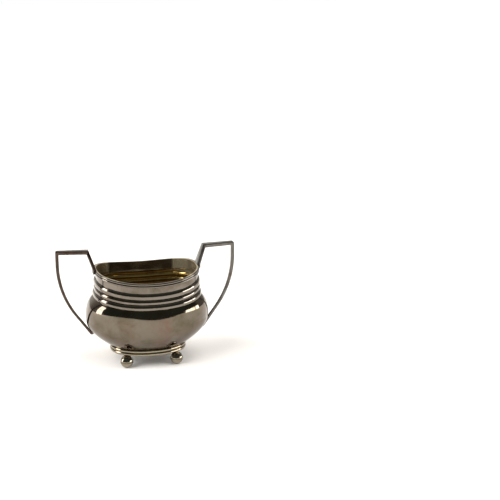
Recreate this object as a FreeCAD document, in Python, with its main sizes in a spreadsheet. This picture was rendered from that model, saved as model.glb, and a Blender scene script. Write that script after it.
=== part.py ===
import FreeCAD, Part
import math
import os
import Sketcher

# A two-handled silver sugar bowl on four ball feet, in millimetres.
# The origin is on the table under the middle of the bowl, +Z is up, +X runs towards one handle
# and +Y towards the back long side.  Lengths along X are "half_length", along Y "half_depth".

SIZES = [
    # alias, value, what it is
    ("sheet_wall", 0.8, "thickness of the raised silver sheet"),
    ("ball_radius", 5.0, "outer radius of a ball foot"),
    ("ball_wall", 0.8, "wall of the hollow ball"),
    ("ball_seat", 4.85, "ball centre to the flat stoned on its top and on its bottom"),
    ("ball_out", 19.6, "ball centre from the middle, along X"),
    ("ball_back", 17.8, "ball centre from the middle, along Y"),
    ("foot_half_length", 29.1, "outside of the foot where its mouldings meet"),
    ("foot_half_depth", 23.4, "the same across"),
    ("foot_squareness", 2.2, "exponent of the foot's outline"),
    ("foot_reed", 2.4, "height of each moulding of the foot"),
    ("foot_bulge", 0.85, "how far each moulding of the foot stands out"),
    ("foot_wire_width", 2.6, "width of the flat underside of the foot wire"),
    ("collet_wall", 1.0, "thickness of the collet strip"),
    ("base_half_length", 21.0, "flat of the bowl's bottom inside the collet"),
    ("base_half_depth", 16.0, "the same across"),
    ("base_height", 12.2, "underside of the bowl's bottom"),
    ("belly_height", 35.3, "level of the widest part of the belly"),
    ("belly_half_length", 48.4, "belly at its widest"),
    ("belly_half_depth", 38.6, "the same across"),
    ("belly_squareness", 1.95, "exponent of the belly's outline"),
    ("belly_length_power", 1.9, "how quickly the belly's length falls away below its widest"),
    ("belly_depth_power", 1.35, "how quickly its depth falls away there"),
    ("shoulder_power", 3.2, "how late the belly turns in to its shoulder"),
    ("shoulder_height", 49.8, "joint of belly and neck, at the middle of a long side"),
    ("shoulder_half_length", 41.5, "outline of that joint"),
    ("shoulder_half_depth", 35.8, "the same across"),
    ("shoulder_saddle", 0.0023, "rise of the joint towards the ends, per square millimetre of X"),
    ("lower_reed", 4.2, "height of the lowest of the three swaged reeds"),
    ("middle_reed", 3.7, "height of the middle one"),
    ("upper_reed", 5.1, "height of the top one, the boldest"),
    ("reed_fullness", 0.3, "how far a reed stands out, as a share of its height"),
    ("neck_half_length", 39.6, "outside of the plain band"),
    ("neck_half_depth", 34.7, "the same across"),
    ("neck_squareness", 2.5, "exponent of the neck's outline"),
    ("neck_saddle", 0.003, "rise of the rim towards the ends, per square millimetre of X"),
    ("rim_height", 70.7, "top of the rim at the middle of a long side"),
    ("rim_reed", 1.65, "height of each of the two fine reeds of the rim wire"),
    ("rim_bulge", 0.6, "how far a fine reed stands out"),
    ("rim_land", 0.7, "thickness of the rim wire in its grooves"),
    ("handle_reach", 70.1, "middle of the bowl to the outer face of a handle"),
    ("corner_height", 91.8, "top of the handle at its outer corner"),
    ("corner_drop", 0.8, "how much lower the inner corner is"),
    ("inner_corner", 44.74, "inner corner of the handle's top, along X"),
    ("bar_thickness", 2.8, "thickness of the handle's top bar"),
    ("riser_thickness", 2.7, "thickness of the riser, measured level"),
    ("riser_lean", 0.354, "how far the riser leans out for each millimetre of height"),
    ("rim_seat", 75.55, "level at which the riser stands on the rim"),
    ("rim_face", 40.95, "inner face of the tongue that laps the outside of the rim"),
    ("tongue_foot", 72.7, "lower end of that tongue"),
    ("tongue_thickness", 1.1, "thickness of that tongue"),
    ("riser_width", 11.0, "width of the riser where it meets the rim"),
    ("inner_width", 6.8, "width of the strap at the inner corner"),
    ("outer_width", 4.4, "width of the strap at the outer corner"),
    ("arm_width", 3.1, "width of the arm from its middle down"),
    ("arm_taper_foot", 60.0, "level where the arm stops narrowing"),
    ("arm_thickness", 2.5, "thickness of the arm at its top"),
    ("arm_end_thickness", 2.0, "thickness of its straight tail"),
    ("arm_level", 81.0, "level at which the arm stands furthest out"),
    ("arm_radius", 70.9, "radius of the arm's outer face"),
    ("arm_turn", 36.2, "how far the arm curves in before it runs straight, in degrees"),
    ("arm_tail", 19.3, "straight run of the arm down to its end on the belly"),
]

STATIONS = 36
ARC_STEPS = 4

doc = FreeCAD.newDocument("SugarBowl")
sheet = doc.addObject("Spreadsheet::Sheet", "Sizes")
for row, (alias, value, meaning) in enumerate(SIZES, start=1):
    sheet.set(f"A{row}", meaning)
    sheet.set(f"B{row}", str(value))
    sheet.setAlias(f"B{row}", alias)
doc.recompute()

pieces = []


def size(alias):
    return float(sheet.get(alias))


# ---------------------------------------------------------------- rings of sheet and wire

def outline(half_length, half_depth, squareness, height, saddle):
    """One closed level line: a rounded oblong that rises as the square of X towards the ends."""
    points = []
    for station in range(STATIONS):
        turn = 2 * math.pi * station / STATIONS
        along = abs(math.cos(turn) / half_length) ** squareness
        across = abs(math.sin(turn) / half_depth) ** squareness
        radius = (along + across) ** (-1 / squareness)
        x = radius * math.cos(turn)
        points.append(FreeCAD.Vector(x, radius * math.sin(turn), height + saddle * x * x))
    curve = Part.BSplineCurve()
    curve.interpolate(Points=points, PeriodicFlag=True)
    return Part.Wire(curve.toShape())


def skin(wires):
    """A smooth surface through closed level lines."""
    return Part.makeLoft(wires, False, False, False).Faces


def edge_strip(wire, other):
    """The narrow face between two closed level lines."""
    return [Part.makeRuledSurface(wire.Edges[0], other.Edges[0])]


def closed_solid(faces):
    shell = Part.makeShell(faces)
    shell.sewShape()
    solid = Part.makeSolid(shell)
    if solid.Volume < 0:
        solid.reverse()
    return solid


def add_formed(label, shape):
    """A piece of formed sheet or wire that no sketch or primitive describes."""
    piece = doc.addObject("Part::Feature", label)
    piece.Label = label
    piece.Shape = shape
    piece.Placement = FreeCAD.Placement()
    pieces.append(piece)


def half_round(level, lower, upper, bulge):
    """Level lines over one half-round moulding between two grooves; level gives plain lines."""
    lines = []
    for step in range(ARC_STEPS + 1):
        turn = math.pi * step / ARC_STEPS
        part = (1 - math.cos(turn)) / 2
        lines.append(level(lower + (upper - lower) * part, bulge * math.sin(turn)))
    return lines


# ---------------------------------------------------------------- belly

def belly_line(stage):
    """Half length, half depth, height, squareness and saddle; stage 0 base, 1 foot, 2 widest, 3 top."""
    foot_height = 2 * size("ball_seat") + 2 * size("foot_reed")
    if stage <= 1:
        length = size("base_half_length") + (size("foot_half_length") - size("base_half_length")) * stage
        depth = size("base_half_depth") + (size("foot_half_depth") - size("base_half_depth")) * stage
        height = size("base_height") + (foot_height - size("base_height")) * stage ** 2
        return length, depth, height, size("foot_squareness"), 0.0
    if stage <= 2:
        left = 2 - stage
        narrowed = left ** size("belly_length_power")
        thinned = left ** size("belly_depth_power")
        length = size("belly_half_length") - (size("belly_half_length") - size("foot_half_length")) * narrowed
        depth = size("belly_half_depth") - (size("belly_half_depth") - size("foot_half_depth")) * thinned
        height = size("belly_height") - (size("belly_height") - foot_height) * left
        squareness = size("belly_squareness") + (size("foot_squareness") - size("belly_squareness")) * left
        return length, depth, height, squareness, 0.0
    done = stage - 2
    turned = done ** size("shoulder_power")
    length = size("belly_half_length") - (size("belly_half_length") - size("shoulder_half_length")) * turned
    depth = size("belly_half_depth") - (size("belly_half_depth") - size("shoulder_half_depth")) * turned
    height = size("belly_height") + (size("shoulder_height") - size("belly_height")) * done
    squareness = size("belly_squareness") + (size("neck_squareness") - size("belly_squareness")) * done
    return length, depth, height, squareness, size("shoulder_saddle") * done ** 2


def belly_skin(inset):
    """Level lines of the belly, moved square to the sheet by the inset."""
    small = 0.01
    lines = []
    for step in range(0, 31, 2):
        stage = step / 10
        length, depth, height, squareness, saddle = belly_line(stage)
        before = belly_line(max(stage - small, 0))
        after = belly_line(min(stage + small, 3))
        run = after[0] - before[0]
        rise = after[2] - before[2]
        slope = math.hypot(run, rise)
        inward = inset * rise / slope
        upward = inset * run / slope
        lines.append(outline(length - inward, depth - inward, squareness, height + upward, saddle))
    return lines


def make_belly():
    outer = belly_skin(0)
    inner = belly_skin(size("sheet_wall"))
    faces = skin(outer) + skin(inner)
    faces += [Part.Face(outer[0]), Part.Face(inner[0])]
    faces += edge_strip(outer[-1], inner[-1])
    add_formed("belly", closed_solid(faces))


# ---------------------------------------------------------------- neck and rim

def neck_level(height, grow):
    """Level line of the neck at a height of the long side's middle, grown outwards by grow."""
    reeded = size("lower_reed") + size("middle_reed") + size("upper_reed")
    above = min((height - size("shoulder_height")) / reeded, 1)
    wide = (1 - above) ** 2
    length = size("neck_half_length") + (size("shoulder_half_length") - size("neck_half_length")) * wide
    depth = size("neck_half_depth") + (size("shoulder_half_depth") - size("neck_half_depth")) * wide
    saddle = size("shoulder_saddle") + (size("neck_saddle") - size("shoulder_saddle")) * above
    return outline(length + grow, depth + grow, size("neck_squareness"), height, saddle)


def make_neck():
    """Plain band over three reeds, swaged through the sheet so that they show inside too."""
    faces = []
    ends = []
    for inset in (0, size("sheet_wall")):
        def level(height, grow):
            return neck_level(height, grow - inset)

        bottom = size("shoulder_height")
        ends.append(level(bottom, 0))
        for reed in ("lower_reed", "middle_reed", "upper_reed"):
            top = bottom + size(reed)
            faces += skin(half_round(level, bottom, top, size(reed) * size("reed_fullness")))
            bottom = top
        ends.append(level(size("rim_height"), 0))
        faces += skin([level(bottom, 0), ends[-1]])
    outer_foot, outer_top, inner_foot, inner_top = ends
    faces += edge_strip(outer_foot, inner_foot) + edge_strip(outer_top, inner_top)
    add_formed("reeded_neck", closed_solid(faces))


def make_rim_wire():
    """Drawn wire with two fine reeds, bent round the outside of the neck's mouth."""
    land = size("rim_land")

    def level(height, grow):
        return neck_level(height, land + grow)

    top = size("rim_height")
    middle = top - size("rim_reed")
    bottom = middle - size("rim_reed")
    back_foot = level(bottom, -land)
    back_top = level(top, -land)
    faces = skin(half_round(level, bottom, middle, size("rim_bulge")))
    faces += skin(half_round(level, middle, top, size("rim_bulge")))
    faces += skin([back_foot, back_top])
    faces += edge_strip(level(bottom, 0), back_foot) + edge_strip(level(top, 0), back_top)
    add_formed("rim_wire", closed_solid(faces))


# ---------------------------------------------------------------- foot

def foot_level(height, grow):
    length = size("foot_half_length") + grow
    depth = size("foot_half_depth") + grow
    return outline(length, depth, size("foot_squareness"), height, 0)


def make_foot():
    """A collet strip with one bold reed, and under it a half-round wire that takes the balls."""
    seam = 2 * size("ball_seat") + size("foot_reed")
    top = seam + size("foot_reed")
    bottom = seam - size("foot_reed")
    # The strip's upper edge is cut to the slope of the bowl's bottom.
    edge = belly_line(1 - size("collet_wall") / (size("foot_half_length") - size("base_half_length")))
    strip_foot = foot_level(seam, -size("collet_wall"))
    strip_top = foot_level(edge[2], -size("collet_wall"))
    faces = skin(half_round(foot_level, seam, top, size("foot_bulge")))
    faces += skin([strip_foot, strip_top])
    faces += edge_strip(foot_level(seam, 0), strip_foot) + edge_strip(foot_level(top, 0), strip_top)
    add_formed("foot_collet", closed_solid(faces))

    wire_foot = foot_level(bottom, -size("foot_wire_width"))
    wire_top = foot_level(seam, -size("foot_wire_width"))
    faces = skin(half_round(foot_level, bottom, seam, size("foot_bulge")))
    faces += skin([wire_foot, wire_top])
    faces += edge_strip(foot_level(bottom, 0), wire_foot) + edge_strip(foot_level(seam, 0), wire_top)
    add_formed("foot_wire", closed_solid(faces))


# ---------------------------------------------------------------- ball feet

def add_sphere(label, radius):
    """Upper half of a sphere about the origin."""
    ball = doc.addObject("Part::Sphere", label)
    ball.setExpression("Radius", radius)
    ball.Angle1 = 0
    ball.Angle2 = 90
    return ball


def make_ball_half(label, sign_x, sign_y, upper):
    """One stamped half of a hollow ball, its pole stoned flat, soldered to the other at the equator."""
    outside = add_sphere(f"{label}_outside", "Sizes.ball_radius")
    flat = doc.addObject("Part::Cylinder", f"{label}_flat")
    flat.setExpression("Radius", "Sizes.ball_radius")
    flat.setExpression("Height", "Sizes.ball_seat")
    stoned = doc.addObject("Part::Common", f"{label}_stoned")
    stoned.Base = outside
    stoned.Tool = flat
    half = doc.addObject("Part::Cut", label)
    half.Base = stoned
    half.Tool = add_sphere(f"{label}_hollow", "Sizes.ball_radius - Sizes.ball_wall")
    half.Label = label
    turn = 0 if upper else 180
    half.Placement = FreeCAD.Placement(FreeCAD.Vector(), FreeCAD.Rotation(FreeCAD.Vector(1, 0, 0), turn))
    half.setExpression("Placement.Base.x", f"{sign_x} * Sizes.ball_out")
    half.setExpression("Placement.Base.y", f"{sign_y} * Sizes.ball_back")
    half.setExpression("Placement.Base.z", "Sizes.ball_seat")
    pieces.append(half)


def make_ball_feet():
    for depth_name, sign_y in (("front", -1), ("back", 1)):
        for side_name, sign_x in (("left", -1), ("right", 1)):
            label = f"ball_{depth_name}_{side_name}"
            make_ball_half(f"{label}_upper", sign_x, sign_y, True)
            make_ball_half(f"{label}_lower", sign_x, sign_y, False)


# ---------------------------------------------------------------- handles

BAR_SLOPE = "(Sizes.corner_drop / (Sizes.handle_reach - Sizes.inner_corner))"
BAR_UNDER = "(Sizes.corner_height - Sizes.bar_thickness)"
RISER_FACE = "(Sizes.inner_corner + Sizes.riser_thickness)"
INNER_TOP = "(Sizes.corner_height - Sizes.corner_drop)"
INNER_UNDER = "(Sizes.corner_height - Sizes.corner_drop - Sizes.bar_thickness)"
INNER_UNDER_X = f"({RISER_FACE} - Sizes.riser_lean * Sizes.bar_thickness)"
ARM_FACE = "(Sizes.handle_reach - Sizes.arm_thickness)"
ARM_CENTRE = "(Sizes.handle_reach - Sizes.arm_radius)"
ARM_THINNING = "((Sizes.arm_thickness - Sizes.arm_end_thickness) / (1 - cos(Sizes.arm_turn)))"
ARM_INNER_CENTRE = f"({ARM_CENTRE} - {ARM_THINNING})"
ARM_INNER_RADIUS = f"(Sizes.arm_radius - Sizes.arm_thickness + {ARM_THINNING})"
TAIL_X = "Sizes.arm_tail * sin(Sizes.arm_turn)"
TAIL_Z = "Sizes.arm_tail * cos(Sizes.arm_turn)"


def bend_end(centre, radius):
    """Where the arm's curve of this centre and radius ends and its straight tail begins."""
    x = f"({centre} + {radius} * cos(Sizes.arm_turn))"
    z = f"(Sizes.arm_level - {radius} * sin(Sizes.arm_turn))"
    return x, z


def number(expression):
    value = sheet.evalExpression(expression)
    return float(getattr(value, "Value", value))


def add_sketch(body, label, role, loops, arcs=None):
    """A sketch of closed loops whose corners are bound to the sheet; arcs maps a side to its radius."""
    arcs = arcs or {}
    sketch = body.newObject("Sketcher::SketchObject", label)
    plane = [item for item in body.Origin.OriginFeatures if item.Role == role][0]
    sketch.AttachmentSupport = [(plane, "")]
    sketch.MapMode = "FlatFace"
    for loop in loops:
        first = sketch.GeometryCount
        places = [FreeCAD.Vector(number(x), number(y), 0) for x, y in loop]
        starts = []
        for side, place in enumerate(places):
            after = places[(side + 1) % len(places)]
            if side in arcs:
                starts.append(add_arc(sketch, place, after, number(arcs[side])))
            else:
                sketch.addGeometry(Part.LineSegment(place, after), False)
                starts.append(1)
        for side, (x, y) in enumerate(loop):
            geometry = first + side
            before = first + (side - 1) % len(loop)
            before_end = 3 - starts[side - 1]
            sketch.addConstraint(Sketcher.Constraint("Coincident", before, before_end, geometry, starts[side]))
            for kind, expression, value in (("DistanceX", x, places[side].x), ("DistanceY", y, places[side].y)):
                rule = Sketcher.Constraint(kind, -1, 1, geometry, starts[side], value)
                index = sketch.addConstraint(rule)
                sketch.setExpression(f"Constraints[{index}]", expression)
            if side in arcs:
                index = sketch.addConstraint(Sketcher.Constraint("Radius", geometry, number(arcs[side])))
                sketch.setExpression(f"Constraints[{index}]", arcs[side])
    return sketch


def add_arc(sketch, place, after, radius):
    """A short arc that bulges towards +X; returns which of its ends is at place."""
    start, end = (place, after) if place.y < after.y else (after, place)
    chord = end - start
    reach = math.sqrt(radius ** 2 - (chord.Length / 2) ** 2)
    inward = FreeCAD.Vector(-chord.y, chord.x, 0).normalize()
    centre = (start + end) / 2 + inward * reach
    first = math.atan2(start.y - centre.y, start.x - centre.x)
    last = math.atan2(end.y - centre.y, end.x - centre.x)
    circle = Part.Circle(centre, FreeCAD.Vector(0, 0, 1), radius)
    sketch.addGeometry(Part.ArcOfCircle(circle, first, last), False)
    return 1 if start is place else 2


def make_strap(label, turned, side_loop, arcs, width, trim_role, trim_line):
    """A length of strap: its side profile, padded to its full width, then trimmed to its taper."""
    body = doc.addObject("PartDesign::Body", label)
    body.Label = label
    pad = body.newObject("PartDesign::Pad", f"{label}_strap")
    pad.Profile = add_sketch(body, f"{label}_side", "XZ_Plane", [side_loop], arcs)
    pad.SideType = "Symmetric"
    pad.setExpression("Length", width)
    doc.recompute()
    loops = []
    for sign in ("1", "-1"):
        edge = [(along, f"{sign} * ({half})") for along, half in trim_line]
        clear = [(along, f"{sign} * Sizes.riser_width") for along, half in reversed(trim_line)]
        loops.append(edge + clear)
    if trim_role == "YZ_Plane":
        loops = [[(half, along) for along, half in loop] for loop in loops]
    trim = body.newObject("PartDesign::Pocket", f"{label}_taper")
    trim.Profile = add_sketch(body, f"{label}_taper_outline", trim_role, loops)
    trim.SideType = "Symmetric"
    trim.Type = "ThroughAll"
    body.Tip = trim
    turn = 180 if turned else 0
    body.Placement = FreeCAD.Placement(FreeCAD.Vector(), FreeCAD.Rotation(FreeCAD.Vector(0, 0, 1), turn))
    pieces.append(body)


def make_handle(name, turned):
    """Three mitred lengths of strap: a riser off the rim, a level top bar and a long sweeping arm."""
    riser_drop = f"({INNER_TOP} - Sizes.rim_seat)"
    tongue_face = "(Sizes.rim_face + Sizes.tongue_thickness)"
    tongue_top = f"({INNER_TOP} - ({RISER_FACE} - {tongue_face}) / Sizes.riser_lean)"
    riser = [
        ("Sizes.inner_corner", INNER_TOP),
        (f"Sizes.inner_corner - Sizes.riser_lean * {riser_drop}", "Sizes.rim_seat"),
        ("Sizes.rim_face", "Sizes.rim_seat"),
        ("Sizes.rim_face", "Sizes.tongue_foot"),
        (tongue_face, "Sizes.tongue_foot"),
        (tongue_face, tongue_top),
        (INNER_UNDER_X, INNER_UNDER),
    ]
    riser_taper = [
        ("Sizes.tongue_foot", "Sizes.riser_width / 2"),
        ("Sizes.rim_seat", "Sizes.riser_width / 2"),
        (INNER_TOP, "Sizes.inner_width / 2"),
    ]
    make_strap(f"handle_{name}_riser", turned, riser, None, "Sizes.riser_width", "YZ_Plane", riser_taper)

    bar_end = f"({BAR_UNDER} - {BAR_SLOPE} * Sizes.arm_thickness)"
    bar = [
        ("Sizes.inner_corner", INNER_TOP),
        (INNER_UNDER_X, INNER_UNDER),
        (ARM_FACE, bar_end),
        ("Sizes.handle_reach", "Sizes.corner_height"),
    ]
    bar_taper = [
        ("Sizes.inner_corner", "Sizes.inner_width / 2"),
        ("Sizes.handle_reach", "Sizes.outer_width / 2"),
    ]
    make_strap(f"handle_{name}_bar", turned, bar, None, "Sizes.inner_width", "XY_Plane", bar_taper)

    outer_x, outer_z = bend_end(ARM_CENTRE, "Sizes.arm_radius")
    inner_x, inner_z = bend_end(ARM_INNER_CENTRE, ARM_INNER_RADIUS)
    arm = [
        ("Sizes.handle_reach", "Sizes.corner_height"),
        (ARM_FACE, bar_end),
        (ARM_FACE, "Sizes.arm_level"),
        (inner_x, inner_z),
        (f"{inner_x} - {TAIL_X}", f"{inner_z} - {TAIL_Z}"),
        (f"{outer_x} - {TAIL_X}", f"{outer_z} - {TAIL_Z}"),
        (outer_x, outer_z),
        ("Sizes.handle_reach", "Sizes.arm_level"),
    ]
    arcs = {2: ARM_INNER_RADIUS, 6: "Sizes.arm_radius"}
    arm_taper = [
        (f"{outer_z} - {TAIL_Z}", "Sizes.arm_width / 2"),
        ("Sizes.arm_taper_foot", "Sizes.arm_width / 2"),
        ("Sizes.corner_height", "Sizes.outer_width / 2"),
    ]
    make_strap(f"handle_{name}_arm", turned, arm, arcs, "Sizes.outer_width", "YZ_Plane", arm_taper)


# ---------------------------------------------------------------- build and write

def check_and_write():
    doc.recompute()
    for item in doc.Objects:
        if {"Invalid", "Error"} & set(item.State):
            raise RuntimeError(f"{item.Label} failed: {item.State}")
    os.makedirs("parts", exist_ok=True)
    for piece in pieces:
        shape = piece.Shape
        if shape.isNull() or not shape.isValid() or len(shape.Solids) != 1 or shape.Volume <= 0:
            raise RuntimeError(f"{piece.Label} is not one valid solid")
    for piece in pieces:
        piece.Shape.exportStep(f"parts/{piece.Label}.step")
        print(f"{piece.Label}: {piece.Shape.Volume:.1f} cubic millimetres")


make_belly()
make_neck()
make_rim_wire()
make_foot()
make_ball_feet()
make_handle("left", True)
make_handle("right", False)
check_and_write()
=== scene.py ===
import math
import bmesh
import bpy
from mathutils import Matrix, Vector, noise


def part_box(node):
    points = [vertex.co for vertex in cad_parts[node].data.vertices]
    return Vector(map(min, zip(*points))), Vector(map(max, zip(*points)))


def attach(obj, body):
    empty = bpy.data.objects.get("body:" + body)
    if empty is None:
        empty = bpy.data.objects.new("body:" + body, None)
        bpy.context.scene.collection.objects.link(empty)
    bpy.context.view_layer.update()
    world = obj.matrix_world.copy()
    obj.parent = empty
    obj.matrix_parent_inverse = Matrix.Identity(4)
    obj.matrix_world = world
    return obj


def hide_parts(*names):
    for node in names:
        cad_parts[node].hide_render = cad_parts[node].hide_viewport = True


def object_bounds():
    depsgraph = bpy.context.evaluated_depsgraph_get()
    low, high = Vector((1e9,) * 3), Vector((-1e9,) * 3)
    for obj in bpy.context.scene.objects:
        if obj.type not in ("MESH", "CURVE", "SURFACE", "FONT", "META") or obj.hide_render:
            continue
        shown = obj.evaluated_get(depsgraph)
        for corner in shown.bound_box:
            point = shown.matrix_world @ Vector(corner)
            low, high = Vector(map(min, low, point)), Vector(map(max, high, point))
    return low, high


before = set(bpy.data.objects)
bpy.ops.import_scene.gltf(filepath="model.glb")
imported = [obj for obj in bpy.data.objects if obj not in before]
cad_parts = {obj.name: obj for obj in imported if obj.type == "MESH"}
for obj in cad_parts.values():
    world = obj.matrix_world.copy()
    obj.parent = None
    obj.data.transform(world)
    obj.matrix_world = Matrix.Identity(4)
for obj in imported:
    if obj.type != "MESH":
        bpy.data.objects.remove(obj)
cad_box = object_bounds()

# Belly: the raised lower half of the bowl with its closed bottom, one sheet of sterling silver.
# It is raised with a hammer over a stake, planished and polished, so its curves are true only to
# a tenth or two of a millimetre, and tarnish has settled on it in soft patches since.
MM = 0.001
CREASE = math.radians(40)
AROUND = 256
SHEET = 0.8
belly_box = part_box("belly")
BELLY_LENGTH = belly_box[1].x / MM
BELLY_DEPTH = belly_box[1].y / MM
BASE_HEIGHT = belly_box[0].z / MM
FOOT_LENGTH, FOOT_DEPTH, FOOT_SQUARE = 29.1, 23.4, 2.2
BASE_LENGTH, BASE_DEPTH = 21.0, 16.0
FOOT_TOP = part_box("foot_collet")[1].z / MM
WIDEST, BELLY_SQUARE = 35.3, 1.95
SHOULDER, SHOULDER_LENGTH, SHOULDER_DEPTH = 49.8, 41.5, 35.8
SHOULDER_SADDLE, NECK_SADDLE, NECK_SQUARE = 0.0023, 0.003, 2.5
LENGTH_CURVE, DEPTH_CURVE, SHOULDER_CURVE, SLOPE_STEP = 1.9, 1.35, 3.2, 0.05


def level_place(turn, length, depth, square, height, saddle):
    """A place on a rounded oblong level line that rises as the square of X; sizes in millimetres."""
    along = abs(math.cos(turn) / length) ** square
    across = abs(math.sin(turn) / depth) ** square
    radius = (along + across) ** (-1 / square)
    x = radius * math.cos(turn)
    return Vector((x, radius * math.sin(turn), height + saddle * x * x)) * MM


def first_ring(bm, level):
    """The closed edge loop that a ring-shaped piece grows from."""
    ring = bmesh.ops.create_circle(bm, segments=AROUND, radius=1)["verts"]
    for vert in ring:
        vert.co = level_place(math.atan2(vert.co.y, vert.co.x), *level)
    return list({edge for vert in ring for edge in vert.link_edges})


def next_ring(bm, edges, level, worn=0.0, material=0):
    """Extrudes a ring and lays the new one on its own level line."""
    wear_and_painted_light = bm.verts.layers.float["wear_and_painted_light"]
    grown = bmesh.ops.extrude_edge_only(bm, edges=edges)["geom"]
    for vert in (item for item in grown if isinstance(item, bmesh.types.BMVert)):
        vert.co = level_place(math.atan2(vert.co.y, vert.co.x), *level)
        vert[wear_and_painted_light] = worn
    for face in (item for item in grown if isinstance(item, bmesh.types.BMFace)):
        face.material_index = material
    return [item for item in grown if isinstance(item, bmesh.types.BMEdge) and len(item.link_faces) == 1]


def new_bmesh():
    """A bmesh with the attribute that tells how much handling has kept a spot bright, and that inside the
    neck band carries painted reflections.
    """
    bm = bmesh.new()
    bm.verts.layers.float.new("wear_and_painted_light")
    return bm


def finish_piece(bm, name, materials, node):
    """Makes the piece that stands for a CAD node, shaded smooth apart from its creases."""
    bmesh.ops.remove_doubles(bm, verts=bm.verts, dist=0.00001 * MM)
    bmesh.ops.recalc_face_normals(bm, faces=bm.faces)
    for edge in bm.edges:
        edge.smooth = len(edge.link_faces) != 2 or edge.calc_face_angle() < CREASE
    mesh = bpy.data.meshes.new(name)
    bm.to_mesh(mesh)
    bm.free()
    for polygon in mesh.polygons:
        polygon.use_smooth = True
    for material in materials:
        mesh.materials.append(material)
    piece = bpy.data.objects.new(name, mesh)
    bpy.context.scene.collection.objects.link(piece)
    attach(piece, "root")
    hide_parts(node)


def belly_level(stage, inset):
    """Stage 0 is the base, 1 the foot, 2 the widest line, 3 the shoulder; inset is square to the sheet."""
    def plain(stage):
        if stage <= 1:
            length = BASE_LENGTH + (FOOT_LENGTH - BASE_LENGTH) * stage
            depth = BASE_DEPTH + (FOOT_DEPTH - BASE_DEPTH) * stage
            return length, depth, FOOT_SQUARE, BASE_HEIGHT + (FOOT_TOP - BASE_HEIGHT) * stage ** 2, 0
        if stage <= 2:
            left = 2 - stage
            length = BELLY_LENGTH - (BELLY_LENGTH - FOOT_LENGTH) * left ** LENGTH_CURVE
            depth = BELLY_DEPTH - (BELLY_DEPTH - FOOT_DEPTH) * left ** DEPTH_CURVE
            square = BELLY_SQUARE + (FOOT_SQUARE - BELLY_SQUARE) * left
            return length, depth, square, WIDEST - (WIDEST - FOOT_TOP) * left, 0
        done = stage - 2
        length = BELLY_LENGTH - (BELLY_LENGTH - SHOULDER_LENGTH) * done ** SHOULDER_CURVE
        depth = BELLY_DEPTH - (BELLY_DEPTH - SHOULDER_DEPTH) * done ** SHOULDER_CURVE
        square = BELLY_SQUARE + (NECK_SQUARE - BELLY_SQUARE) * done
        return length, depth, square, WIDEST + (SHOULDER - WIDEST) * done, SHOULDER_SADDLE * done ** 2

    length, depth, square, height, saddle = plain(stage)
    before, after = plain(max(stage - SLOPE_STEP, 0)), plain(min(stage + SLOPE_STEP, 3))
    run, rise = after[0] - before[0], after[3] - before[3]
    slope = math.hypot(run, rise)
    inward, upward = inset * rise / slope, inset * run / slope
    return length - inward, depth - inward, square, height + upward, saddle


def linear_colour(hex_code):
    """sRGB hex to the linear values that a shader takes."""
    parts = [int(hex_code[i:i + 2], 16) / 255 for i in (1, 3, 5)]
    return [c / 12.92 if c <= 0.04045 else ((c + 0.055) / 1.055) ** 2.4 for c in parts] + [1.0]


def add(tree, kind, links=None, **settings):
    """One node with its settings; links gives its inputs, each a value or another node's socket."""
    node = tree.nodes.new(kind)
    for key, value in settings.items():
        setattr(node, key, value)
    for key, value in (links or {}).items():
        if isinstance(value, bpy.types.NodeSocket):
            tree.links.new(value, node.inputs[key])
        else:
            node.inputs[key].default_value = value
    return node


# In millimetres: specks of tarnish, the drift of its tint, and the marks of the planishing hammer.
SPECK_SIZE, TINT_SIZE, HAMMER_SIZE = 2.6, 24, 7


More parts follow.
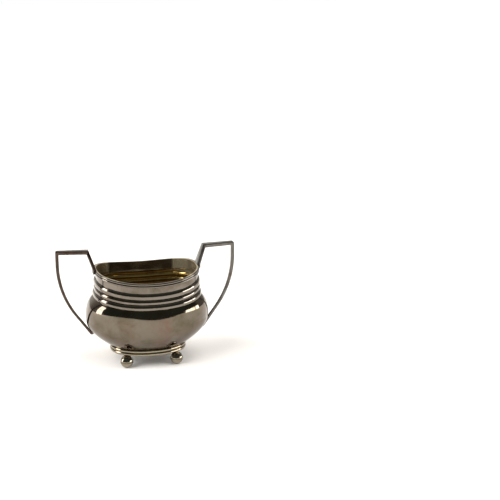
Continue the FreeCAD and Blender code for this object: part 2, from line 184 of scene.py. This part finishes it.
def tarnished_silver(name, bright, dull, stain, darkening="#1d1812", cover=0.5, smooth=0.14, matt=0.3,
                     patch_mm=16, hammer=0.5, metallic=1.0):
    """Sterling silver, planished and hand polished, then left to tarnish: a soft mirror whose colour
    drifts between bright metal and a brown film, clean on the edges that fingers rub and darker where the
    mesh attribute goes negative; inside the neck band that attribute carries painted reflections."""
    material = bpy.data.materials.new(name)
    material.use_nodes = True
    tree = material.node_tree
    tree.nodes.clear()
    place = add(tree, "ShaderNodeTexCoord").outputs["Object"]
    film = add(tree, "ShaderNodeTexNoise", {"Vector": place, "Scale": 1 / (patch_mm * MM), "Detail": 5.0,
                                           "Roughness": 0.62, "Distortion": 0.6})
    speck = add(tree, "ShaderNodeTexNoise", {"Vector": place, "Scale": 1 / (SPECK_SIZE * MM), "Detail": 3.0})
    tint = add(tree, "ShaderNodeTexNoise", {"Vector": place, "Scale": 1 / (TINT_SIZE * MM), "Detail": 2.0})
    # This attribute holds real wear, dark lines along grooves and crevices, and painted reflections inside
    # the neck band.
    rubbed_and_painted_light = add(tree, "ShaderNodeAttribute", attribute_name="wear_and_painted_light").outputs["Fac"]
    spread = add(tree, "ShaderNodeMapRange", {"Value": film.outputs["Fac"], "From Min": 0.36,
                                             "From Max": 0.66, "To Min": cover - 0.5,
                                             "To Max": cover + 0.5})
    fine = add(tree, "ShaderNodeMapRange", {"Value": speck.outputs["Fac"], "From Min": 0.3, "From Max": 0.7,
                                           "To Min": -0.12, "To Max": 0.12})
    sum_film = add(tree, "ShaderNodeMath", {0: spread.outputs["Result"], 1: fine.outputs["Result"]},
                   operation="ADD")
    kept = add(tree, "ShaderNodeMath", {0: sum_film.outputs["Value"], 1: rubbed_and_painted_light}, operation="SUBTRACT",
               use_clamp=True)
    warm = add(tree, "ShaderNodeMapRange", {"Value": tint.outputs["Fac"], "From Min": 0.42,
                                           "From Max": 0.62})
    film_colour = add(tree, "ShaderNodeMixRGB", {"Fac": warm.outputs["Result"],
                                                "Color1": linear_colour(dull),
                                                "Color2": linear_colour(stain)})
    metal = add(tree, "ShaderNodeMixRGB", {"Fac": kept.outputs["Value"], "Color1": linear_colour(bright),
                                          "Color2": film_colour.outputs["Color"]})
    darkened = add(tree, "ShaderNodeMapRange", {"Value": rubbed_and_painted_light, "From Min": -1.0, "From Max": -0.1,
                                           "To Min": 1.0, "To Max": 0.0})
    colour = add(tree, "ShaderNodeMixRGB", {"Fac": darkened.outputs["Result"], "Color1": metal.outputs["Color"],
                                           "Color2": linear_colour(darkening)})
    rough = add(tree, "ShaderNodeMapRange", {"Value": kept.outputs["Value"], "To Min": smooth,
                                            "To Max": matt})
    planished = add(tree, "ShaderNodeTexNoise", {"Vector": place, "Scale": 1 / (HAMMER_SIZE * MM),
                                                "Detail": 1.0})
    hair = add(tree, "ShaderNodeMapping", {"Vector": place, "Scale": (90.0, 90.0, 2600.0),
                                          "Rotation": (0.3, 0.2, 0.1)})
    scratch = add(tree, "ShaderNodeTexNoise", {"Vector": hair.outputs["Vector"], "Scale": 1.0,
                                              "Detail": 4.0})
    facets = add(tree, "ShaderNodeBump", {"Height": planished.outputs["Fac"], "Strength": hammer,
                                         "Distance": 0.02 * MM})
    relief = add(tree, "ShaderNodeBump", {"Height": scratch.outputs["Fac"], "Strength": 0.12,
                                         "Distance": 0.004 * MM, "Normal": facets.outputs["Normal"]})
    shader = add(tree, "ShaderNodeBsdfPrincipled", {"Base Color": colour.outputs["Color"],
                                                   "Metallic": metallic,
                                                   "Roughness": rough.outputs["Result"],
                                                   "Normal": relief.outputs["Normal"]})
    add(tree, "ShaderNodeOutputMaterial", {"Surface": shader.outputs["BSDF"]})
    return material


# Planished and polished: a slightly soft mirror with faint brown and rosy clouds.
belly_silver = tarnished_silver("silver_planished_belly", "#726a5e", "#5b5444", "#6e5a4e", cover=0.45,
                               smooth=0.07, matt=0.12)
# Gilt against the sugar and worn thin: a duller, golden brown mirror.
inside_gilt = tarnished_silver("silver_gilt_worn_inside", "#a68e58", "#745a32", "#66502f", smooth=0.1,
                               matt=0.2, metallic=0.93)

bm = new_bmesh()
ring = first_ring(bm, belly_level(0, 0))
OUT_STEPS, IN_STEPS = 90, 60
for step in range(1, OUT_STEPS + 1):
    ring = next_ring(bm, ring, belly_level(3 * step / OUT_STEPS, 0))
for step in range(IN_STEPS + 1):
    ring = next_ring(bm, ring, belly_level(3 - 3 * step / IN_STEPS, SHEET), material=1)
inside_ring = set(ring)
outside_ring = [edge for edge in bm.edges if len(edge.link_faces) == 1 and edge not in inside_ring]
for rim, height, material in ((outside_ring, BASE_HEIGHT, 0), (ring, BASE_HEIGHT + SHEET, 1)):
    for share in (0.66, 0.33, 0.02):
        level = (BASE_LENGTH * share, BASE_DEPTH * share, FOOT_SQUARE, height, 0)
        rim = next_ring(bm, rim, level, 0, material)
    cap = bmesh.ops.contextual_create(bm, geom=rim)["faces"]
    for face in cap:
        face.material_index = material
# Planishing leaves each thumb's width of sheet a little further in; both skins move together.
DENT, DENT_SPAN, FOOT_FADE, SHOULDER_FADE = 0.16, 20.0, 6, 5
for vert in bm.verts:
    out = Vector((vert.co.x, vert.co.y, 0)).normalized()
    wave = noise.noise(vert.co / (DENT_SPAN * MM)) - 1
    height = vert.co.z / MM
    fade = min(1, max(0, height - FOOT_TOP) / FOOT_FADE) * min(1, max(0, SHOULDER - height) / SHOULDER_FADE)
    vert.co += out * (DENT * MM * wave * fade)
finish_piece(bm, "belly_sheet", [belly_silver, inside_gilt], "belly")

# Neck: a strip of the same sheet, bent to the mouth and soldered to the belly.  Its three reeds are
# swaged right through it, so they show inside as well; the band above them is left plain.
REEDS, FULLNESS = (4.2, 3.7, 5.1), 0.3
NECK_LENGTH, NECK_DEPTH = 39.6, 34.7
RIM_TOP = 70.7
REED_STEPS, BAND_STEPS, BAND_POLISH = 14, 8, 0.05
# Swaged and burnished: the crowns of the reeds stay bright, and a narrow line along each groove is coloured
# near black.
neck_silver = tarnished_silver("silver_swaged_neck", "#7b746b", "#5c5447", "#67574a", cover=0.45,
                               smooth=0.07, matt=0.14)
# Gilding rubbed down to the silver; inside the band its pale straw patches and darker middle are painted
# reflections.
inside_neck = tarnished_silver("silver_gilding_painted_reflections", "#e6d6b2", "#8a7658", "#7d694b", smooth=0.06,
                               matt=0.14, metallic=0.85)


def neck_level(height, grow):
    """A level line of the neck; height is where it crosses the middle of a long side."""
    above = min((height - SHOULDER) / sum(REEDS), 1)
    wide = (1 - above) ** 2
    length = NECK_LENGTH + (SHOULDER_LENGTH - NECK_LENGTH) * wide + grow
    depth = NECK_DEPTH + (SHOULDER_DEPTH - NECK_DEPTH) * wide + grow
    saddle = SHOULDER_SADDLE + (NECK_SADDLE - SHOULDER_SADDLE) * above
    return length, depth, NECK_SQUARE, height, saddle


def reeded(bottom, reeds, fullness, steps):
    """(height, swell, crown) up a run of half-round reeds; crown is 1 on a crown and 0 in a groove."""
    profile = []
    for reed in reeds:
        for step in range(steps):
            turn = math.pi * step / steps
            height = bottom + reed * (1 - math.cos(turn)) / 2
            profile.append((height, reed * fullness * math.sin(turn), math.sin(turn)))
        bottom += reed
    return profile


def reed_wear(crown, darkening, narrow):
    """Polish across a reed: worn bright on its crown, and a narrow dark line along its groove."""
    return 0.5 * crown - darkening * (1 - crown) ** narrow


bm = new_bmesh()
reeds = reeded(SHOULDER, REEDS, FULLNESS, REED_STEPS)
band_foot = SHOULDER + sum(REEDS)
band = [(band_foot + (RIM_TOP - band_foot) * step / BAND_STEPS, 0, 0.4) for step in range(BAND_STEPS + 1)]
start = ring = first_ring(bm, neck_level(SHOULDER, 0))
for height, swell, crown in (reeds + band)[1:]:
    wear = reed_wear(crown, 0.9, 6) if height < band_foot else BAND_POLISH
    ring = next_ring(bm, ring, neck_level(height, swell), wear)
for height, swell, crown in reversed(reeds + band):
    ring = next_ring(bm, ring, neck_level(height, swell - SHEET), 0, 1)
bmesh.ops.bridge_loops(bm, edges=start + ring)
# Inside the band, an upright bright patch at each turn and a darker middle are painted reflections, standing
# for what the real wall mirrors there, because this wall is upright and would not.  The gilding survives in
# the reeds.
PATCH_START, PATCH_END, PATCH_BLUR = 25, 31, 2
INSIDE_POLISH, BAND_PAINTED_DARK, PAST_PATCH = 0.35, 0.95, 0.45
wear_and_painted_light = bm.verts.layers.float["wear_and_painted_light"]
inner_faces = [face for face in bm.faces if face.material_index == 1]
for vert in {vert for face in inner_faces for vert in face.verts}:
    along = abs(vert.co.x) / MM
    turning = min(1, max(0, (along - PATCH_START) / PATCH_BLUR))
    past = min(1, max(0, (along - PATCH_END) / PATCH_BLUR))
    on_band = min(1, max(0, (vert.co.z / MM - band_foot) / PATCH_BLUR))
    vert[wear_and_painted_light] = INSIDE_POLISH + on_band * (turning - PAST_PATCH * past - BAND_PAINTED_DARK)
for face in inner_faces:
    if face.calc_center_median().z < band_foot * MM:
        face.material_index = 2
finish_piece(bm, "neck_sheet", [neck_silver, inside_neck, inside_gilt], "reeded_neck")

# Rim: drawn silver wire with two fine reeds, bent round the outside of the mouth and soldered there.
# Spoons and cloths have kept its crowns bright.
RIM_REED, RIM_BULGE, RIM_LAND, RIM_STEPS = 1.65, 0.6, 0.7, 12
# Drawn through a plate, so nearly free of hammer marks: two thin even bright lines.
wire_silver = tarnished_silver("silver_drawn_wire", "#777067", "#585046", "#625449", cover=0.35,
                               smooth=0.09, patch_mm=9, hammer=0.15)
bm = new_bmesh()
rim_foot = RIM_TOP - 2 * RIM_REED
start = ring = first_ring(bm, neck_level(rim_foot, 0))
rim_profile = reeded(rim_foot, (RIM_REED, RIM_REED), RIM_BULGE / RIM_REED, RIM_STEPS) + [(RIM_TOP, 0, 0)]
for height, swell, crown in rim_profile:
    ring = next_ring(bm, ring, neck_level(height, RIM_LAND + swell), reed_wear(crown, 0.8, 6))
ring = next_ring(bm, ring, neck_level(RIM_TOP, 0), -0.2)
bmesh.ops.bridge_loops(bm, edges=start + ring)
finish_piece(bm, "rim_reeds", [wire_silver], "rim_wire")

# Foot: a collet strip with one bold reed under the belly, and a half-round wire soldered below it that
# carries the balls.  Its crevices and the grooves beside the reed are coloured near black.
FOOT_REED, FOOT_BULGE, FOOT_WIRE, COLLET = 2.4, 0.85, 2.6, 1.0
COLLET_STEP, FOOT_STEPS = 0.45, 14
# Polished by hand over the crowns only: warm bright bands between brown lines.
foot_silver = tarnished_silver("silver_foot_mouldings", "#968c79", "#746854", "#7b6b57", cover=0.4,
                               smooth=0.09, patch_mm=9, hammer=0.2)
for name, node, bottom, width in (("foot_strip", "foot_collet", FOOT_TOP - FOOT_REED, COLLET),
                                  ("foot_half_round", "foot_wire", FOOT_TOP - 2 * FOOT_REED, FOOT_WIRE)):
    top = bottom + FOOT_REED
    inner_top = top - COLLET_STEP if node == "foot_collet" else top
    bm = new_bmesh()
    start = ring = first_ring(bm, (FOOT_LENGTH - width, FOOT_DEPTH - width, FOOT_SQUARE, bottom, 0))
    foot_profile = reeded(bottom, (FOOT_REED,), FOOT_BULGE / FOOT_REED, FOOT_STEPS) + [(top, 0, 0)]
    for height, swell, crown in foot_profile:
        level = (FOOT_LENGTH + swell, FOOT_DEPTH + swell, FOOT_SQUARE, height, 0)
        ring = next_ring(bm, ring, level, reed_wear(crown, 0.9, 5))
    ring = next_ring(bm, ring, (FOOT_LENGTH - width, FOOT_DEPTH - width, FOOT_SQUARE, inner_top, 0), -0.4)
    bmesh.ops.bridge_loops(bm, edges=start + ring)
    finish_piece(bm, name, [foot_silver], node)

# Ball feet: four hollow balls, each of two stamped halves soldered at the equator and filed flush, with
# a small flat stoned where it meets the foot and where it stands.  Each half is closed across the seam,
# because its hollow can't be seen.
# Buffed all over: a sharp mirror, with its tarnish mostly along the seam.
ball_silver = tarnished_silver("silver_polished_ball", "#938b7c", "#716757", "#6f614f", cover=0.3,
                               smooth=0.06, patch_mm=5, hammer=0.1)
ball_low, ball_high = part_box("ball_front_left_lower")
BALL = (ball_high.x - ball_low.x) / 2
SEAM = ball_high.z
SEAM_NOTCH, ARC_STEPS, BALL_STEPS = 0.05, 20, 64
BALL_POLISH, SEAM_TARNISH = 0.35, 0.9
for depth_name in ("front", "back"):
    for side_name in ("left", "right"):
        for half_name in ("upper", "lower"):
            node = f"ball_{depth_name}_{side_name}_{half_name}"
            low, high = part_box(node)
            centre = Vector(((low.x + high.x) / 2, (low.y + high.y) / 2, SEAM))
            way = 1 if half_name == "upper" else -1
            bm = new_bmesh()
            wear_and_painted_light = bm.verts.layers.float["wear_and_painted_light"]
            flat = math.sqrt(BALL ** 2 - SEAM ** 2)
            reach = math.acos(flat / BALL)
            arc = []
            for step in range(ARC_STEPS + 1):
                rise = reach * step / ARC_STEPS
                radius = BALL - (SEAM_NOTCH * MM if step == 0 else 0)
                vert = bm.verts.new((radius * math.cos(rise), 0, way * radius * math.sin(rise)))
                vert[wear_and_painted_light] = BALL_POLISH - SEAM_TARNISH * max(0, 1 - step / 2)
                arc.append(vert)
            arc.append(bm.verts.new((0, 0, arc[-1].co.z)))
            arc.insert(0, bm.verts.new((0, 0, 0)))
            edges = [bm.edges.new(pair) for pair in zip(arc, arc[1:])]
            bmesh.ops.spin(bm, geom=arc + edges, cent=(0, 0, 0), axis=(0, 0, 1), angle=2 * math.pi,
                           steps=BALL_STEPS, use_merge=True, dvec=(0, 0, 0))
            bmesh.ops.translate(bm, verts=bm.verts, vec=centre)
            finish_piece(bm, node.replace("ball", "foot_ball"), [ball_silver], node)

# Handles: flat strap of forged silver, wide at the rim and narrowing all the way.  Each is three
# lengths mitred and soldered at crisp corners: a riser off the rim, a top bar, and an arm to the belly.
# Forged, filed and much handled but little polished: a dark satin, browner on the left handle.
handle_silver = {
    "left": tarnished_silver("silver_forged_strap_left", "#50463f", "#372d28", "#45352e", cover=0.5,
                             smooth=0.16, patch_mm=12, hammer=0.3),
    "right": tarnished_silver("silver_forged_strap_right", "#6e6c68", "#4f4b46", "#584d46", cover=0.45,
                              smooth=0.16, patch_mm=12, hammer=0.3),
}
REACH, TOP = cad_box[1].x / MM, cad_box[1].z / MM
CORNER_DROP = 0.8
INNER_CORNER, INNER_TOP = 44.74, TOP - CORNER_DROP
BAR, RISER, LEAN = 2.8, 2.7, 0.354
RIM_SEAT, RIM_FACE, TONGUE_FOOT, TONGUE = 75.55, 40.95, 72.7, 1.1
RISER_WIDTH, INNER_WIDTH, OUTER_WIDTH, ARM_WIDTH, ARM_TAPER_FOOT = 11.0, 6.8, 4.4, 3.1, 60.0
ARM, ARM_END, ARM_LEVEL, ARM_RADIUS, ARM_TURN, ARM_TAIL = 2.5, 2.0, 81.0, 70.9, math.radians(36.2), 19.3
EDGE_RADIUS, CORNER, SEAT_STEP, CURVE_STEPS = 0.45, 0.5, 0.01, 36
NEAR_MITRE, OFF_MITRE, CORNER_SAG, STRAP_POLISH = 0.15, 0.4, 0.02, 0.1


def strap_ring(outer, inner, width):
    """Sixteen corners of a strap's section between its outer and inner face, its edges rounded."""
    outer, inner = Vector(outer), Vector(inner)
    across = (outer - inner) / 2
    half = across.length
    middle = (outer + inner) / 2
    unit = across / half
    corners = []
    for sign_y, sign_n in ((1, 1), (-1, 1), (-1, -1), (1, -1)):
        order = (0, 30, 60, 90) if sign_y * sign_n > 0 else (90, 60, 30, 0)
        for angle in order:
            swing = math.radians(angle)
            y = sign_y * (width / 2 - EDGE_RADIUS * (1 - math.cos(swing)))
            n = sign_n * (half - EDGE_RADIUS * (1 - math.sin(swing)))
            corners.append(Vector((middle.x + unit.x * n, y, middle.y + unit.y * n)) * MM)
    return corners


def strap(name, node, sections, side):
    """A length of strap through a list of (outer face, inner face, width) sections."""
    bm = new_bmesh()
    wear_and_painted_light = bm.verts.layers.float["wear_and_painted_light"]
    places = strap_ring(*sections[0])
    ring = [bm.verts.new(place) for place in places]
    loop = bm.faces.new(ring)
    for section in sections[1:]:
        loop = bmesh.ops.extrude_discrete_faces(bm, faces=[loop])["faces"][0]
        for vert, place in zip(loop.verts, strap_ring(*section)):
            vert.co = place
    # The first face has travelled to the far end, so the near end gets its own.
    bm.faces.new(ring)
    for vert in bm.verts:
        vert[wear_and_painted_light] = STRAP_POLISH
    if side == "left":
        bmesh.ops.rotate(bm, verts=bm.verts, cent=(0, 0, 0), matrix=Matrix.Rotation(math.pi, 3, "Z"))
    finish_piece(bm, name, [handle_silver[side]], node)


bar_end = TOP - BAR - CORNER_DROP / (REACH - INNER_CORNER) * ARM


def arm_sections():
    """From the mitre down the vertical top, round the long curve, and straight to the belly."""
    thinning = (ARM - ARM_END) / (1 - math.cos(ARM_TURN))
    outer_centre = REACH - ARM_RADIUS
    inner_centre = outer_centre - thinning
    inner_radius = ARM_RADIUS - ARM + thinning
    sections = []

    def width(height):
        grown = max(0, (height - ARM_TAPER_FOOT) / (TOP - ARM_TAPER_FOOT))
        return ARM_WIDTH + (OUTER_WIDTH - ARM_WIDTH) * grown

    under = REACH - ARM
    sections.append(((REACH - CORNER, TOP - CORNER), (under, bar_end), OUTER_WIDTH))
    sections.append(((REACH - CORNER / 3, TOP - 2 * CORNER), (under, bar_end - NEAR_MITRE), OUTER_WIDTH))
    sections.append(((REACH, TOP - 3.5 * CORNER), (under, bar_end - OFF_MITRE), width(bar_end)))
    for step in range(CURVE_STEPS + 1):
        turn = ARM_TURN * step / CURVE_STEPS
        outer = (outer_centre + ARM_RADIUS * math.cos(turn), ARM_LEVEL - ARM_RADIUS * math.sin(turn))
        inner = (inner_centre + inner_radius * math.cos(turn), ARM_LEVEL - inner_radius * math.sin(turn))
        sections.append((outer, inner, width(outer[1])))
    for share in (0.5, 0.94, 1.0):
        slide = Vector((-math.sin(ARM_TURN), -math.cos(ARM_TURN))) * ARM_TAIL * share
        end_outer = Vector(outer) + slide
        end_inner = Vector(inner) + slide
        sections.append((end_outer, end_inner, ARM_WIDTH))
    return sections


corner_under = (INNER_CORNER + RISER - LEAN * BAR, INNER_TOP - BAR)
for side in ("left", "right"):
    riser = [((INNER_CORNER, INNER_TOP), corner_under, INNER_WIDTH)]
    for share in (0.05, 0.3, 0.6, 0.9, 1.0):
        height = INNER_TOP - BAR - (INNER_TOP - BAR - RIM_SEAT) * share
        shift = LEAN * (INNER_TOP - height)
        wide = RISER_WIDTH + (INNER_WIDTH - RISER_WIDTH) * (height - RIM_SEAT) / (INNER_TOP - RIM_SEAT)
        face = max(INNER_CORNER + RISER - shift, RIM_FACE + TONGUE)
        riser.append(((INNER_CORNER - shift, height), (face, height), wide))
    for height in (RIM_SEAT - SEAT_STEP, TONGUE_FOOT):
        riser.append(((RIM_FACE, height), (RIM_FACE + TONGUE, height), RISER_WIDTH))
    strap(f"riser_{side}", f"handle_{side}_riser", riser, side)
    bar = [((INNER_CORNER, INNER_TOP), corner_under, INNER_WIDTH)]
    for share in (0.08, 0.5, 0.92):
        x = corner_under[0] + (REACH - ARM - corner_under[0]) * share
        top = INNER_TOP + CORNER_DROP * (x - INNER_CORNER) / (REACH - INNER_CORNER)
        wide = INNER_WIDTH + (OUTER_WIDTH - INNER_WIDTH) * (x - INNER_CORNER) / (REACH - INNER_CORNER)
        bar.append(((x, top), (x, top - BAR), wide))
    bar.append(((REACH - 3.5 * CORNER, TOP - CORNER_SAG), (REACH - ARM - OFF_MITRE, bar_end), OUTER_WIDTH))
    bar.append(((REACH - 2 * CORNER, TOP - CORNER / 3), (REACH - ARM - NEAR_MITRE, bar_end), OUTER_WIDTH))
    bar.append(((REACH - CORNER, TOP - CORNER), (REACH - ARM, bar_end), OUTER_WIDTH))
    strap(f"bar_{side}", f"handle_{side}_bar", bar, side)
    strap(f"arm_{side}", f"handle_{side}_arm", arm_sections(), side)

# Studio: a pale matt table, two broad fill lights, paned windows at the sides, and a room that is bright
# behind the bowl and dark in front of it, which polished silver shows.  The camera sees plain white
# behind the table instead of that room.
floor_mesh = bpy.data.meshes.new("table_top")
bm = bmesh.new()
bmesh.ops.create_grid(bm, x_segments=1, y_segments=1, size=5.0)
bm.to_mesh(floor_mesh)
bm.free()
floor = bpy.data.objects.new("table_top", floor_mesh)
bpy.context.scene.collection.objects.link(floor)
table = bpy.data.materials.new("table_pale_matt")
table.use_nodes = True
tree = table.node_tree
tree.nodes.clear()
paper = add(tree, "ShaderNodeBsdfPrincipled", {"Base Color": linear_colour("#f7f3ef"), "Roughness": 0.9})
add(tree, "ShaderNodeOutputMaterial", {"Surface": paper.outputs["BSDF"]})
floor_mesh.materials.append(table)


def window_pane(name, place, width, height, power):
    """A rectangular light that faces the bowl and that the silver mirrors, but the camera never sees."""
    data = bpy.data.lights.new(name, "AREA")
    data.shape = "RECTANGLE"
    data.size, data.size_y = width, height
    data.energy = power
    light = bpy.data.objects.new(name, data)
    light.location = place
    light.rotation_euler = (Vector((0, 0, 0.04)) - Vector(place)).to_track_quat("-Z", "Y").to_euler()
    light.visible_camera = False
    bpy.context.scene.collection.objects.link(light)


LEFT_PANES = [(y, z, 0.17, 0.34) for z in (0.18, 0.55) for y in (0.06, 0.25)]
RIGHT_PANES = [(-0.62, 0.1, 0.26, 0.26), (-0.33, 0.1, 0.26, 0.26), (-0.06, 0.1, 0.2, 0.26)]
for pane_y, pane_z, wide, tall in LEFT_PANES:
    window_pane("pane_left", (-1.0, pane_y, pane_z), wide, tall, 1.5)
for pane_y, pane_z, wide, tall in RIGHT_PANES:
    window_pane("pane_right", (1.0, pane_y, pane_z), wide, tall, 2.0)
# The fills light the table, and the silver doesn't mirror them.
FILLS = (("fill_left", (-0.95, -0.4, 0.8), 50, 3.1), ("fill_right", (0.6, -0.4, 0.9), 70, 2.2))
for name, way, spread, energy in FILLS:
    fill = bpy.data.objects.new(name, bpy.data.lights.new(name, "SUN"))
    fill.data.energy = energy
    fill.data.angle = math.radians(spread)
    fill.rotation_euler = Vector(way).to_track_quat("Z", "Y").to_euler()
    fill.visible_glossy = False
    bpy.context.scene.collection.objects.link(fill)

# The room's brightness depends on direction alone: dim in front, a pale wall behind that falls off towards
# both ends, and a brighter ceiling straight overhead.
world = bpy.data.worlds.new("room")
world.use_nodes = True
tree = world.node_tree
tree.nodes.clear()
way = add(tree, "ShaderNodeTexCoord").outputs["Generated"]
split = add(tree, "ShaderNodeSeparateXYZ", {"Vector": way})
behind = add(tree, "ShaderNodeMapRange", {"Value": split.outputs["Y"], "From Min": -0.1, "From Max": 0.15})
sideways = add(tree, "ShaderNodeMath", {0: split.outputs["X"]}, operation="ABSOLUTE")
ends = add(tree, "ShaderNodeMapRange", {"Value": sideways.outputs["Value"], "From Min": 0.1,
                                       "From Max": 0.7, "To Min": 0.9, "To Max": 0.3})
wall = add(tree, "ShaderNodeMath", {0: behind.outputs["Result"], 1: ends.outputs["Result"]},
           operation="MULTIPLY")
overhead = add(tree, "ShaderNodeMapRange", {"Value": split.outputs["Z"], "From Min": 0.8, "From Max": 0.92,
                                           "To Min": 0.11, "To Max": 0.45})
level = add(tree, "ShaderNodeMath", {0: wall.outputs["Value"], 1: overhead.outputs["Result"]},
            operation="MAXIMUM")
tone = add(tree, "ShaderNodeMixRGB", {"Fac": behind.outputs["Result"], "Color1": linear_colour("#d3dccd"),
                                     "Color2": linear_colour("#fbf7f0")}, use_clamp=True)
room = add(tree, "ShaderNodeBackground", {"Color": tone.outputs["Color"],
                                         "Strength": level.outputs["Value"]})
backdrop = add(tree, "ShaderNodeBackground", {"Color": linear_colour("#ffffff"), "Strength": 1.0})
seen = add(tree, "ShaderNodeLightPath").outputs["Is Camera Ray"]
mixed = add(tree, "ShaderNodeMixShader", {0: seen, 1: room.outputs["Background"],
                                         2: backdrop.outputs["Background"]})
add(tree, "ShaderNodeOutputWorld", {"Surface": mixed.outputs["Shader"]})
bpy.context.scene.world = world
bpy.context.scene.view_settings.view_transform = "Standard"

# Camera: a long lens, a little to the left of the bowl's front and a third of a metre up.
CAMERA_LENS, CAMERA_TILT, CAMERA_TURN = 90.4, 75.77, -13.88
camera_data = bpy.data.cameras.new("camera")
camera_data.lens = CAMERA_LENS
camera_data.clip_start, camera_data.clip_end = 0.01, 20
camera = bpy.data.objects.new("camera", camera_data)
camera.location = (-0.1483, -0.9371, 0.3282)
camera.rotation_euler = (math.radians(CAMERA_TILT), 0, math.radians(CAMERA_TURN))
bpy.context.scene.collection.objects.link(camera)
bpy.context.scene.camera = camera
